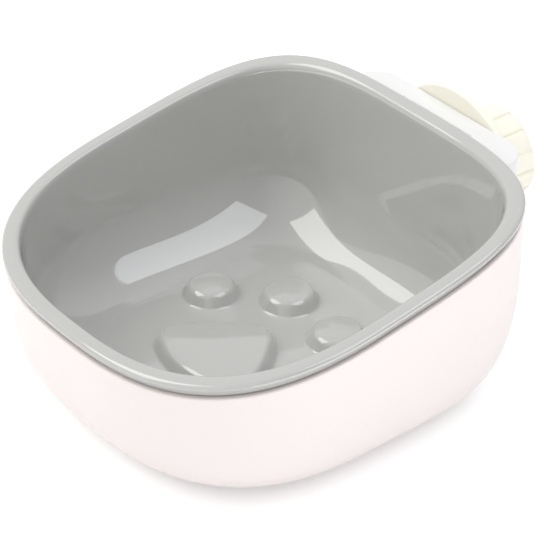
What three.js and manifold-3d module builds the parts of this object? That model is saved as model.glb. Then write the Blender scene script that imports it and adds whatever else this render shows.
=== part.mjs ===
// A hanging dog bowl: a grey food bowl in a pale outer shell, with a screw clamp for cage wires.
// Millimetres. +Z is up and +Y points to the hanger at the back.
// The origin is on the table, under the middle of the mouth.

import * as THREE from "three";
import { mergeVertices } from "three/addons/utils/BufferGeometryUtils.js";
import Module from "manifold-3d";

// Mouth: the rim's outline, made of a back half and a front half
const MOUTH_HALF_WIDTH = 75;
const MOUTH_BACK = 76.7;
const MOUTH_FRONT = 73.8;
const MOUTH_BACK_SQUARENESS = 3.6;
const MOUTH_FRONT_SQUARENESS = 2.67;
const RIM_HEIGHT = 64;
const RIM_TILT_DEG = 9.9;
const LIP_HEIGHT = 4.8;
const RIM_ROUNDING = 0.9;

// Outer shell
const SHELL_SETBACK = 0.5;
const SHELL_WALL = 2.4;
const SHELL_FLOOR = 2.4;
const SHELL_DRAFT_DEG = 2;
const BASE_ROUNDING_HEIGHT = 48;
const BASE_ROUNDING_SIDE = 26;
const BASE_ROUNDING_BACK = 22;
const BASE_ROUNDING_FRONT = 28;
const BASE_ROUNDING_POWER = 2.6;
const BASE_BACK_SQUARENESS = 4.6;
const BASE_FRONT_SQUARENESS = 2.6;

// Inner bowl
const BOWL_WALL = 2.2;
const BOWL_FIT_GAP = 0.5;
const AIR_UNDER_BOWL = 8.4;
const BOWL_DRAFT_DEG = 5;
const FLOOR_FILLET_HEIGHT = 21;
const FLOOR_FILLET_SIDE = 21;
const FLOOR_FILLET_BACK = 17;
const FLOOR_FILLET_FRONT = 22;
const FLOOR_FILLET_POWER = 2;
const FLOOR_BACK_SQUARENESS = 4.4;
const FLOOR_FRONT_SQUARENESS = 3;

// Paw relief on the bowl's floor
const PAW_HEIGHT = 6;
const PAW_EDGE = 3.2;
const INNER_TOE = { x: 13.2, y: 27, radius: 10.4 };
const OUTER_TOE = { x: 32.5, y: 9, radius: 9.4 };
const PAD_TIP = { x: 0, y: -5.5, radius: 14 };
const PAD_HEEL = { x: 15, y: -17, radius: 10.7 };

// Hanger block and the rail that it slides on
const HANGER_WIDTH = 78;
const HANGER_HEIGHT = 50;
const HANGER_THICKNESS = 12.3;
const HANGER_CORNER = 11;
const HANGER_EDGE = 1;
const SLOT_LIP = 1.9;
const SLOT_STOP = 5;
const RAIL_NECK_WIDTH = 22;
const RAIL_HEAD_WIDTH = 34;
const RAIL_HEAD_THICKNESS = 2.2;

// Clamp: screw, disc and knob share one axis along Y, a drop below the middle of the rim
const CLAMP_DROP = 16.5;
const SCREW_DIAMETER = 10;
const SCREW_LENGTH = 23.5;
const SCREW_HEAD_WIDTH = 15;
const SCREW_HEAD_THICKNESS = 3.6;
const SCREW_TIP_CHAMFER = 1.2;
const DISC_RADIUS = 31.7;
const DISC_THICKNESS = 3;
const DISC_EDGE = 1;
const KNOB_RADIUS = 17.1;
const KNOB_LENGTH = 21.1;
const KNOB_END_WALL = 2.5;
const KNOB_EDGE = 2;
const KNOB_RIBS = 14;
const KNOB_GROOVE_DEPTH = 0.9;
const KNOB_GROOVE_WIDTH = 1.3;

// Gaps and fineness
const CLEARANCE = 0.3;
const RING_POINTS = 64;
const ROUND_POINTS = 48;
const TOE_POINTS = 20;
const PAD_ARC_POINTS = 5;
const PAW_EDGE_STEPS = 4;
const WALL_STEPS = 4;
const ROUNDING_STEPS = 8;
const EDGE_STEPS = 2;
const CORNER_STEPS = 8;
const DISC_EDGE_STEPS = 1;
const OVERCUT = 4;
const MERGE_DISTANCE = 1e-4;

// Sizes that follow from the ones above
const DEGREE = Math.PI / 180;
const RIM_SLOPE = Math.tan(RIM_TILT_DEG * DEGREE);
const BOWL_WALL_INSET = SHELL_SETBACK + SHELL_WALL + BOWL_FIT_GAP;
const RIM_WIDTH = BOWL_WALL_INSET + BOWL_WALL;
const BOWL_FLOOR_Z = SHELL_FLOOR + AIR_UNDER_BOWL + BOWL_WALL;
const BOWL_DEPTH = RIM_HEIGHT - BOWL_FLOOR_Z;
const SHELL_TOP_DEPTH = LIP_HEIGHT + CLEARANCE;
const CLAMP_HEIGHT = RIM_HEIGHT - CLAMP_DROP;
const HANGER_FRONT_Y = MOUTH_BACK + CLEARANCE;
const HANGER_BACK_Y = HANGER_FRONT_Y + HANGER_THICKNESS;
const HANGER_TOP_Z = CLAMP_HEIGHT + HANGER_HEIGHT / 2;
const HANGER_BOTTOM_Z = CLAMP_HEIGHT - HANGER_HEIGHT / 2;
const SLOT_FLOOR_Z = HANGER_BOTTOM_Z + SLOT_STOP;
const RAIL_HEAD_FRONT_Y = HANGER_FRONT_Y + SLOT_LIP + CLEARANCE;
const RAIL_HEAD_BACK_Y = RAIL_HEAD_FRONT_Y + RAIL_HEAD_THICKNESS;
const SLOT_BACK_Y = RAIL_HEAD_BACK_Y + CLEARANCE;
const SCREW_HEAD_FRONT_Y = SLOT_BACK_Y + CLEARANCE;
const SCREW_HEAD_BACK_Y = SCREW_HEAD_FRONT_Y + SCREW_HEAD_THICKNESS;
const DISC_FRONT_Y = HANGER_BACK_Y + CLEARANCE;
const KNOB_FRONT_Y = DISC_FRONT_Y + DISC_THICKNESS + CLEARANCE;
const SCREW_TIP_Y = SCREW_HEAD_BACK_Y + SCREW_LENGTH;
const SCREW_BORE_RADIUS = SCREW_DIAMETER / 2 + CLEARANCE;

const wasm = await Module();
wasm.setup();

// Booleans: a closed geometry becomes a solid, and a solid becomes a geometry again

function solidFrom(geometry) {
  const bare = geometry.clone();
  bare.deleteAttribute("normal");
  bare.deleteAttribute("uv");
  const merged = mergeVertices(bare, MERGE_DISTANCE);
  const vertProperties = new Float32Array(merged.attributes.position.array);
  const triVerts = new Uint32Array(merged.index.array);
  return new wasm.Manifold(new wasm.Mesh({ numProp: 3, vertProperties, triVerts }));
}

function geometryFrom(solid) {
  const mesh = solid.getMesh();
  const geometry = new THREE.BufferGeometry();
  geometry.setAttribute("position", new THREE.BufferAttribute(mesh.vertProperties, 3));
  geometry.setIndex(new THREE.BufferAttribute(mesh.triVerts, 1));
  geometry.computeVertexNormals();
  return geometry;
}

// Walls: a stack of rings, skinned from the first to the last and closed at both ends.
// A ring is a superellipse in two parts, because the back and the front have corners of their own.

function ringPoints(section, heightAt) {
  const points = [];
  for (let i = 0; i < RING_POINTS; i += 1) {
    const turn = (2 * Math.PI * i) / RING_POINTS;
    const across = -Math.sin(turn);
    const along = Math.cos(turn);
    const reach = along >= 0 ? section.back : section.front;
    const power = along >= 0 ? section.backSquareness : section.frontSquareness;
    const sum = Math.abs(across / section.side) ** power + Math.abs(along / reach) ** power;
    const radius = sum ** (-1 / power);
    points.push(new THREE.Vector3(radius * across, radius * along, heightAt(radius * along)));
  }
  return points;
}

function ringCentre(points) {
  const sum = points.reduce((total, point) => total.add(point), new THREE.Vector3());
  return sum.divideScalar(points.length);
}

function skinRings(rings) {
  const count = rings[0].length;
  const vertices = [ringCentre(rings[0]), ...rings.flat(), ringCentre(rings.at(-1))];
  const last = vertices.length - 1;
  const at = (ring, point) => 1 + ring * count + (point % count);
  const index = [];
  for (let point = 0; point < count; point += 1) {
    index.push(0, at(0, point + 1), at(0, point));
    for (let ring = 0; ring + 1 < rings.length; ring += 1) {
      const [a, b] = [at(ring, point), at(ring, point + 1)];
      const [c, d] = [at(ring + 1, point + 1), at(ring + 1, point)];
      index.push(a, b, c, a, c, d);
    }
    index.push(last, at(rings.length - 1, point), at(rings.length - 1, point + 1));
  }
  const geometry = new THREE.BufferGeometry().setFromPoints(vertices);
  geometry.setIndex(index);
  return geometry;
}

// How far a wall has turned in at a share of its rounding: 0 where it starts, 1 at the flat
function roundedInset(share, power) {
  const reach = Math.min(Math.max(share, 0), 1);
  return 1 - (1 - reach ** power) ** (1 / power);
}

function mix(from, to, share) {
  return from + (to - from) * share;
}

// The rim's plane, dropped by a depth and levelled out by a share
function tiltedHeight(depth, level) {
  return (y) => RIM_HEIGHT - depth + y * RIM_SLOPE * (1 - level);
}

function mouthSection(inset) {
  return {
    side: MOUTH_HALF_WIDTH - inset,
    back: MOUTH_BACK - inset,
    front: MOUTH_FRONT - inset,
    backSquareness: MOUTH_BACK_SQUARENESS,
    frontSquareness: MOUTH_FRONT_SQUARENESS,
  };
}

// Depths down a wall: even steps to the rounding, then steps that crowd towards the flat
function wallDepths(top, bottom, roundingHeight) {
  const start = Math.max(bottom - roundingHeight, top + RIM_ROUNDING);
  const depths = [];
  for (let step = 0; step < WALL_STEPS; step += 1) {
    depths.push(mix(top, start, step / WALL_STEPS));
  }
  for (let step = 0; step <= ROUNDING_STEPS; step += 1) {
    const turn = (step / ROUNDING_STEPS) * (Math.PI / 2);
    depths.push(mix(start, bottom, Math.sin(turn)));
  }
  return depths;
}

// Outer shell

function shellSection(depth, inset) {
  const share = (depth - SHELL_TOP_DEPTH) / (RIM_HEIGHT - SHELL_TOP_DEPTH);
  const rounding = (depth - RIM_HEIGHT + BASE_ROUNDING_HEIGHT) / BASE_ROUNDING_HEIGHT;
  const turned = roundedInset(rounding, BASE_ROUNDING_POWER);
  const drawn = SHELL_SETBACK + inset + (depth - SHELL_TOP_DEPTH) * Math.tan(SHELL_DRAFT_DEG * DEGREE);
  return {
    side: MOUTH_HALF_WIDTH - drawn - turned * BASE_ROUNDING_SIDE,
    back: MOUTH_BACK - drawn - turned * BASE_ROUNDING_BACK,
    front: MOUTH_FRONT - drawn - turned * BASE_ROUNDING_FRONT,
    backSquareness: mix(MOUTH_BACK_SQUARENESS, BASE_BACK_SQUARENESS, share),
    frontSquareness: mix(MOUTH_FRONT_SQUARENESS, BASE_FRONT_SQUARENESS, share),
  };
}

// Rings of the shell from its base up, set in by a wall and lifted by a floor where it is the hollow's
function shellRings(inset, lift) {
  const depths = wallDepths(SHELL_TOP_DEPTH, RIM_HEIGHT, BASE_ROUNDING_HEIGHT).reverse();
  return depths.map((depth) => {
    const level = (depth - SHELL_TOP_DEPTH) / (RIM_HEIGHT - SHELL_TOP_DEPTH);
    const height = tiltedHeight(depth, level);
    const raise = lift * (depth / RIM_HEIGHT);
    return ringPoints(shellSection(depth, inset), (y) => height(y) + raise);
  });
}

function shellHollow() {
  const rings = shellRings(SHELL_WALL, SHELL_FLOOR);
  const mouth = rings.at(-1).map((point) => point.clone().setZ(point.z + OVERCUT));
  return solidFrom(skinRings([...rings, mouth]));
}

// A T in plan, from the wall out to the head, stood up between two heights
function railPrism(grow, rootY, bottomZ, topZ) {
  const neck = RAIL_NECK_WIDTH / 2 + grow;
  const head = RAIL_HEAD_WIDTH / 2 + grow;
  const headFront = RAIL_HEAD_FRONT_Y - grow;
  const headBack = RAIL_HEAD_BACK_Y + grow;
  const plan = new THREE.Shape();
  plan.moveTo(-neck, rootY);
  plan.lineTo(neck, rootY);
  plan.lineTo(neck, headFront);
  plan.lineTo(head, headFront);
  plan.lineTo(head, headBack);
  plan.lineTo(-head, headBack);
  plan.lineTo(-head, headFront);
  plan.lineTo(-neck, headFront);
  const prism = new THREE.ExtrudeGeometry(plan, { depth: topZ - bottomZ, bevelEnabled: false });
  return solidFrom(prism.translate(0, 0, bottomZ));
}

function outerShell() {
  const shellBackTop = tiltedHeight(SHELL_TOP_DEPTH, 0)(MOUTH_BACK);
  const railTop = Math.min(HANGER_TOP_Z, shellBackTop) - HANGER_EDGE;
  const rootY = MOUTH_BACK - BASE_ROUNDING_BACK;
  const rail = railPrism(0, rootY, SLOT_FLOOR_Z + CLEARANCE, railTop);
  const body = solidFrom(skinRings(shellRings(0, 0)));
  return geometryFrom(body.add(rail).subtract(shellHollow()));
}

// Inner bowl

function bowlSection(depth, inset) {
  const share = depth / BOWL_DEPTH;
  const fillet = (depth - BOWL_DEPTH + FLOOR_FILLET_HEIGHT) / FLOOR_FILLET_HEIGHT;
  const turned = roundedInset(fillet, FLOOR_FILLET_POWER);
  const drawn = RIM_WIDTH - inset + depth * Math.tan(BOWL_DRAFT_DEG * DEGREE);
  return {
    side: MOUTH_HALF_WIDTH - drawn - turned * FLOOR_FILLET_SIDE,
    back: MOUTH_BACK - drawn - turned * FLOOR_FILLET_BACK,
    front: MOUTH_FRONT - drawn - turned * FLOOR_FILLET_FRONT,
    backSquareness: mix(MOUTH_BACK_SQUARENESS, FLOOR_BACK_SQUARENESS, share),
    frontSquareness: mix(MOUTH_FRONT_SQUARENESS, FLOOR_FRONT_SQUARENESS, share),
  };
}

// Rings of one face of the bowl's wall from a depth down to the floor
function bowlRings(topDepth, inset, drop) {
  return wallDepths(topDepth, BOWL_DEPTH, FLOOR_FILLET_HEIGHT).map((depth) => {
    const level = (depth - topDepth) / (BOWL_DEPTH - topDepth);
    const height = tiltedHeight(depth, level);
    return ringPoints(bowlSection(depth, inset), (y) => height(y) - drop * level);
  });
}

function rimRings() {
  const flat = tiltedHeight(0, 0);
  const shoulder = tiltedHeight(RIM_ROUNDING, 0);
  const underside = tiltedHeight(LIP_HEIGHT, 0);
  return [
    ringPoints(mouthSection(RIM_WIDTH - RIM_ROUNDING), flat),
    ringPoints(mouthSection(RIM_ROUNDING), flat),
    ringPoints(mouthSection(0), shoulder),
    ringPoints(mouthSection(0), underside),
  ];
}

function bowlBody() {
  const outside = bowlRings(LIP_HEIGHT, BOWL_WALL, BOWL_WALL).reverse();
  const inside = bowlRings(RIM_ROUNDING, 0, 0);
  const rim = rimRings().reverse();
  return solidFrom(skinRings([...outside, ...rim, ...inside]));
}

// A toe is round, and the pad is a rounded triangle with its tip towards the toes

function toeOutline({ x, y, radius }, inset) {
  const circle = new THREE.Path();
  circle.absarc(x, y, radius - inset, 0, 2 * Math.PI, false);
  return circle.getSpacedPoints(TOE_POINTS).slice(0, -1);
}

function padOutline(inset) {
  const run = PAD_HEEL.x - PAD_TIP.x;
  const fall = PAD_TIP.y - PAD_HEEL.y;
  const lean = Math.atan2(fall, run);
  const swing = Math.asin((PAD_TIP.radius - PAD_HEEL.radius) / Math.hypot(run, fall));
  const sideTurn = Math.PI / 2 - lean + swing;
  const heel = PAD_HEEL.radius - inset;
  const outline = new THREE.Path();
  outline.absarc(PAD_HEEL.x, PAD_HEEL.y, heel, -Math.PI / 2, sideTurn, false);
  outline.absarc(PAD_TIP.x, PAD_TIP.y, PAD_TIP.radius - inset, sideTurn, Math.PI - sideTurn, false);
  outline.absarc(-PAD_HEEL.x, PAD_HEEL.y, heel, Math.PI - sideTurn, 1.5 * Math.PI, false);
  return outline.getPoints(PAD_ARC_POINTS);
}

// A low button with a rounded top edge, or the hollow under it, which is thinner all round by the wall
function raisedForm(outlineAt, thin) {
  const top = PAW_HEIGHT - thin;
  const edge = Math.min(PAW_EDGE, top);
  const bottom = thin > 0 ? -BOWL_WALL - OVERCUT : -BOWL_WALL / 2;
  const levels = [{ inset: thin, z: bottom }];
  for (let step = 0; step <= PAW_EDGE_STEPS; step += 1) {
    const turn = (step / PAW_EDGE_STEPS) * (Math.PI / 2);
    levels.push({ inset: thin + edge * (1 - Math.cos(turn)), z: top - edge + edge * Math.sin(turn) });
  }
  const rings = levels.map(({ inset, z }) => {
    return outlineAt(inset).map(({ x, y }) => new THREE.Vector3(x, y, BOWL_FLOOR_Z + z));
  });
  return solidFrom(skinRings(rings));
}

function innerBowl() {
  const toes = [INNER_TOE, OUTER_TOE].flatMap((right) => [right, { ...right, x: -right.x }]);
  const outlines = [padOutline, ...toes.map((toe) => (inset) => toeOutline(toe, inset))];
  let bowl = bowlBody();
  for (const outlineAt of outlines) {
    bowl = bowl.add(raisedForm(outlineAt, 0)).subtract(raisedForm(outlineAt, BOWL_WALL));
  }
  return geometryFrom(bowl);
}

// Hanger block: a plan with rounded back corners, stood up, then slotted and bored

function hangerPlan() {
  const half = HANGER_WIDTH / 2;
  const corner = HANGER_CORNER;
  const plan = new THREE.Shape();
  plan.moveTo(-half, HANGER_FRONT_Y);
  plan.lineTo(half, HANGER_FRONT_Y);
  plan.absarc(half - corner, HANGER_BACK_Y - corner, corner, 0, Math.PI / 2, false);
  plan.absarc(corner - half, HANGER_BACK_Y - corner, corner, Math.PI / 2, Math.PI, false);
  return plan;
}

function alongY(geometry) {
  return geometry.rotateX(Math.PI / 2).rotateZ(Math.PI);
}

function screwBore() {
  const length = HANGER_THICKNESS + 2 * OVERCUT;
  const bore = new THREE.CylinderGeometry(SCREW_BORE_RADIUS, SCREW_BORE_RADIUS, length, ROUND_POINTS);
  return solidFrom(bore.translate(0, HANGER_FRONT_Y + HANGER_THICKNESS / 2, CLAMP_HEIGHT));
}

function headPocket() {
  const width = SCREW_HEAD_WIDTH + 2 * CLEARANCE;
  const front = RAIL_HEAD_FRONT_Y;
  const depth = SCREW_HEAD_BACK_Y + CLEARANCE - front;
  const pocket = new THREE.BoxGeometry(width, depth, width);
  return solidFrom(pocket.translate(0, front + depth / 2, CLAMP_HEIGHT));
}

function hangerBlock() {
  const stood = new THREE.ExtrudeGeometry(hangerPlan(), {
    depth: HANGER_HEIGHT - 2 * HANGER_EDGE,
    bevelThickness: HANGER_EDGE,
    bevelSize: HANGER_EDGE,
    bevelOffset: -HANGER_EDGE,
    bevelSegments: EDGE_STEPS,
    curveSegments: CORNER_STEPS,
  });
  const block = solidFrom(stood.translate(0, 0, HANGER_BOTTOM_Z + HANGER_EDGE));
  const slotRoot = HANGER_FRONT_Y - OVERCUT;
  const slot = railPrism(CLEARANCE, slotRoot, SLOT_FLOOR_Z, HANGER_TOP_Z + OVERCUT);
  return geometryFrom(block.subtract(slot).subtract(headPocket()).subtract(screwBore()));
}

// Clamp pieces

function clampScrew() {
  const radius = SCREW_DIAMETER / 2;
  const profile = [
    new THREE.Vector2(0, SCREW_HEAD_FRONT_Y + SCREW_HEAD_THICKNESS / 2),
    new THREE.Vector2(radius, SCREW_HEAD_FRONT_Y + SCREW_HEAD_THICKNESS / 2),
    new THREE.Vector2(radius, SCREW_TIP_Y - SCREW_TIP_CHAMFER),
    new THREE.Vector2(radius - SCREW_TIP_CHAMFER, SCREW_TIP_Y),
    new THREE.Vector2(0, SCREW_TIP_Y),
  ];
  const shank = solidFrom(new THREE.LatheGeometry(profile, ROUND_POINTS));
  const head = new THREE.BoxGeometry(SCREW_HEAD_WIDTH, SCREW_HEAD_THICKNESS, SCREW_HEAD_WIDTH);
  head.translate(0, SCREW_HEAD_FRONT_Y + SCREW_HEAD_THICKNESS / 2, 0);
  return geometryFrom(shank.add(solidFrom(head)));
}

function clampDisc() {
  const back = DISC_FRONT_Y + DISC_THICKNESS;
  const profile = new THREE.Path();
  profile.moveTo(SCREW_BORE_RADIUS, DISC_FRONT_Y);
  profile.lineTo(DISC_RADIUS - DISC_EDGE, DISC_FRONT_Y);
  profile.absarc(DISC_RADIUS - DISC_EDGE, DISC_FRONT_Y + DISC_EDGE, DISC_EDGE, -Math.PI / 2, 0, false);
  profile.absarc(DISC_RADIUS - DISC_EDGE, back - DISC_EDGE, DISC_EDGE, 0, Math.PI / 2, false);
  profile.lineTo(SCREW_BORE_RADIUS, back);
  profile.lineTo(SCREW_BORE_RADIUS, DISC_FRONT_Y);
  return new THREE.LatheGeometry(profile.getPoints(DISC_EDGE_STEPS), ROUND_POINTS);
}

// The knob's outline: wide ribs parted by narrow grooves
function knobOutline() {
  const pitch = (2 * Math.PI) / KNOB_RIBS;
  const grooveTurn = KNOB_GROOVE_WIDTH / KNOB_RADIUS;
  const outline = new THREE.Shape();
  const spot = (radius, turn) => [radius * Math.cos(turn), radius * Math.sin(turn)];
  outline.moveTo(...spot(KNOB_RADIUS, grooveTurn / 2));
  for (let rib = 0; rib < KNOB_RIBS; rib += 1) {
    const start = rib * pitch + grooveTurn / 2;
    const end = (rib + 1) * pitch - grooveTurn / 2;
    outline.lineTo(...spot(KNOB_RADIUS, (start + end) / 2));
    outline.lineTo(...spot(KNOB_RADIUS, end));
    outline.lineTo(...spot(KNOB_RADIUS - KNOB_GROOVE_DEPTH, end + grooveTurn / 2));
    if (rib + 1 < KNOB_RIBS) {
      outline.lineTo(...spot(KNOB_RADIUS, end + grooveTurn));
    }
  }
  return outline;
}

function clampKnob() {
  const ribbed = new THREE.ExtrudeGeometry(knobOutline(), {
    depth: KNOB_LENGTH - 2 * KNOB_EDGE,
    bevelThickness: KNOB_EDGE,
    bevelSize: KNOB_EDGE,
    bevelOffset: -KNOB_EDGE,
    bevelSegments: EDGE_STEPS,
  });
  const body = solidFrom(alongY(ribbed.translate(0, 0, KNOB_EDGE)).translate(0, KNOB_FRONT_Y, 0));
  const boreLength = KNOB_LENGTH - KNOB_END_WALL + OVERCUT;
  const bore = new THREE.CylinderGeometry(SCREW_BORE_RADIUS, SCREW_BORE_RADIUS, boreLength, ROUND_POINTS);
  bore.translate(0, KNOB_FRONT_Y - OVERCUT + boreLength / 2, 0);
  return geometryFrom(body.subtract(solidFrom(bore)));
}

// Finishes

const finish = (color, roughness) => new THREE.MeshStandardMaterial({ color, roughness, metalness: 0 });
const GREY_GLOSS = finish(0xb4b3b0, 0.18);
const PINK_SATIN = finish(0xfff3f1, 0.35);
const WHITE_SATIN = finish(0xfbfbfa, 0.35);
const CREAM_SATIN = finish(0xf8f6e6, 0.4);

function piece(name, geometry, material) {
  const mesh = new THREE.Mesh(geometry, material);
  mesh.name = name;
  return mesh;
}

const clamp = new THREE.Group();
clamp.position.z = CLAMP_HEIGHT;
clamp.add(piece("clamp_screw", clampScrew(), WHITE_SATIN));
clamp.add(piece("clamp_disc", clampDisc(), CREAM_SATIN));
clamp.add(piece("clamp_knob", clampKnob(), CREAM_SATIN));

const hangingBowl = new THREE.Group();
hangingBowl.add(piece("inner_bowl", innerBowl(), GREY_GLOSS));
hangingBowl.add(piece("outer_shell", outerShell(), PINK_SATIN));
hangingBowl.add(piece("hanger_block", hangerBlock(), WHITE_SATIN));
hangingBowl.add(clamp);

export default hangingBowl;
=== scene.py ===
"""The looks of a hanging pet bowl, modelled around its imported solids."""

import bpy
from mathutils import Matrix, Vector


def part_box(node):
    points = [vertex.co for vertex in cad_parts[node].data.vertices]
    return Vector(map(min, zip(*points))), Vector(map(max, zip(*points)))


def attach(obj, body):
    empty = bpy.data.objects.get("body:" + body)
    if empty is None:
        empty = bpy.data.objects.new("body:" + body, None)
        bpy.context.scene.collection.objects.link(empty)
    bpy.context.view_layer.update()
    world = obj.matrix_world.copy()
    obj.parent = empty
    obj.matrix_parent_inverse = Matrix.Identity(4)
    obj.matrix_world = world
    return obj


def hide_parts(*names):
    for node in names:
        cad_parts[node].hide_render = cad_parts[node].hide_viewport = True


bl_info = {
    "name": "Hanging bowl looks",
    "version": (1, 0, 0),
    "blender": (4, 5, 0),
    "location": "View3D > Sidebar > Hanging bowl",
    "description": "Models a hanging pet bowl, its hanger and its screw clamp around their packed solids",
    "category": "Object",
}

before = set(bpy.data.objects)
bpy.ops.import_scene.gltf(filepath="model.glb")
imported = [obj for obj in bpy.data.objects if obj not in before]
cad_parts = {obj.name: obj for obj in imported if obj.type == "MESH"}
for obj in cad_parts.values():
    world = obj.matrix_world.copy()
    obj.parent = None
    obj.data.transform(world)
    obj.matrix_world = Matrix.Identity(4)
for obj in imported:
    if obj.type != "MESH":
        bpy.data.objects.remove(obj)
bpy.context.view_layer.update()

import math
from collections import namedtuple

import bmesh
import bpy
from mathutils import Matrix, Vector

# Where the solids are: defaults come from here, so the looks stay on them
BOWL_LOW, BOWL_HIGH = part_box("inner_bowl")
HANGER_LOW, HANGER_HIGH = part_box("hanger_block")
SCREW_LOW, SCREW_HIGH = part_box("clamp_screw")
DISC_LOW, DISC_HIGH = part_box("clamp_disc")
KNOB_LOW, KNOB_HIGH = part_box("clamp_knob")

# Fineness of the meshes
RING_POINTS = 320
WALL_RINGS = 16
ROUNDING_RINGS = 44
HIDDEN_RINGS = 22
EDGE_RINGS = 7
TOE_POINTS = 96
PAD_ARC_POINTS = 30
KNOB_POINTS_PER_RIB = 28
ROUND_POINTS = 128
THREAD_POINTS = 72
GRIP_RINGS = 4
THREAD_RING_STEP = 0.0002
CORNER_SEGMENTS = 16
EDGE_SEGMENTS = 4
RAIL_EDGE_SEGMENTS = 2
HEAD_EDGE_SEGMENTS = 3
MERGE_DISTANCE = 1e-6
BEVEL_ANGLE = math.radians(40)
SMOOTH_ANGLE = math.radians(35)

# Small forms, as shares of their own sizes: the paw's crown, the grip rings, the knob's dish and the thread
CROWN_SHARES = (0.75, 0.5, 0.25)
GRIP_SHAPE = ((0, 0), (0.15, 1), (0.45, 1), (0.6, 0))
DISH_SHAPE = ((0, 0), (1, 0.7), (2, 1))
CREST_SHARE = 0.25
FLANK_SHARE = 0.25

# Plastics: the scales of their noises, the part of a noise that is used, and how much the gloss varies
CLOUD_SCALE = 45
GLOSS_SCALE = 110
NOISE_SPAN = (0.3, 0.7)
GLOSS_VARIATION = 0.15

# Surround: the rise over which the walls turn into the ceiling, and the reach and the aims of the two fills
SKYLINE = (0.02, 0.4)
FILL_SPAN = (0.25, 1)
FRONT_FILL_AIM = (-0.15, -0.87, 0.47)
REAR_FILL_AIM = (-0.62, 0.5, 0.6)
WHITE = (1, 1, 1)

# Floor: its width, the distances between which it turns white, both in metres, and its faint clouds
FLOOR_SIZE = 12
FLOOR_FADE = (0.15, 0.9)
FLOOR_CLOUD_SCALE = 3
FLOOR_CLOUD = 0.99

# Camera: the width of its sensor in millimetres, and the nearest distance that it sees in metres
SENSOR_WIDTH = 36
NEAREST_SEEN = 0.01

QUARTER_TURN = math.pi / 2
FULL_TURN = 2 * math.pi

Section = namedtuple("Section", "side back front back_power front_power")
Gloss = namedtuple("Gloss", "roughness ior coat coat_roughness cloud")

GLOSSY = Gloss(roughness=0.045, ior=1.75, coat=0.5, coat_roughness=0.03, cloud=0.985)
SATIN = Gloss(roughness=0.4, ior=1.5, coat=0.0, coat_roughness=0.1, cloud=0.99)
SHELL_SATIN = SATIN._replace(roughness=0.42)


# Settings

def length(name, description, default):
    return bpy.props.FloatProperty(
        name=name, description=description, default=default, precision=4, subtype="DISTANCE", unit="LENGTH"
    )


def angle(name, description, degrees):
    return bpy.props.FloatProperty(
        name=name, description=description, default=math.radians(degrees), subtype="ANGLE", unit="ROTATION"
    )


def number(name, description, default):
    return bpy.props.FloatProperty(name=name, description=description, default=default, precision=3)


def place(name, description, default):
    return bpy.props.FloatVectorProperty(
        name=name, description=description, default=default, size=2, precision=4, subtype="XYZ", unit="LENGTH"
    )


def colour(name, description, default):
    return bpy.props.FloatVectorProperty(
        name=name, description=description, default=default, size=3, min=0, max=1, subtype="COLOR"
    )


def group(kind, name, description):
    return bpy.props.PointerProperty(type=kind, name=name, description=description)


class MouthSizes(bpy.types.PropertyGroup):
    """The tilted mouth: its outline and its rim"""

    half_width: length("Half width", "Half of the mouth's width", BOWL_HIGH.x)
    back: length("Back reach", "How far the mouth reaches back from its middle", BOWL_HIGH.y)
    front: length("Front reach", "How far the mouth reaches forward from its middle", -BOWL_LOW.y)
    back_squareness: number("Back squareness", "How square the two back corners are", 3.9)
    front_squareness: number("Front squareness", "How square the two front corners are", 2.67)
    height: length("Rim height", "Height of the rim over the middle of the base", 0.064)
    tilt: angle("Rim tilt", "How much the rim rises towards the back", 9.9)
    rim_width: length("Rim width", "Width of the rim from its outer edge to the wall", 0.0056)
    inner_edge: length("Inner edge", "Rounding of the rim's inner edge", 0.0016)
    outer_edge: length("Outer edge", "Rounding of the rim's outer edge", 0.0014)
    flange: length("Flange", "Thickness of the rim's flange", 0.0019)
    flange_edge: length("Flange edge", "Rounding of the flange's lower edge", 0.0003)
    lip_height: length("Lip height", "Depth at which the lip ends over the shell's top", 0.0048)
    lip_recess: length("Lip recess", "How far the lip stands back under the flange", 0.002)


class BasinSizes(bpy.types.PropertyGroup):
    """The grey basin inside"""

    wall: length("Wall", "Thickness of the basin's wall", 0.0022)
    floor_height: length("Floor height", "Height of the basin's floor", 0.013)
    draft: angle("Draft", "How much the wall leans out towards the rim", 5)
    fillet_height: length("Fillet height", "Height at which the wall starts to turn into the floor", 0.021)
    fillet_side: length("Side fillet", "How far the side walls turn in", 0.021)
    fillet_back: length("Back fillet", "How far the back wall turns in", 0.017)
    fillet_front: length("Front fillet", "How far the front wall turns in", 0.022)
    crease: angle("Crease", "How far the fillet stops short of a quarter turn", 12)
    crease_width: length("Crease width", "Width over which the crease is rounded", 0.0004)
    back_squareness: number("Back squareness", "How square the floor's back corners are", 4.4)
    front_squareness: number("Front squareness", "How square the floor's front corners are", 3.0)


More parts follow.
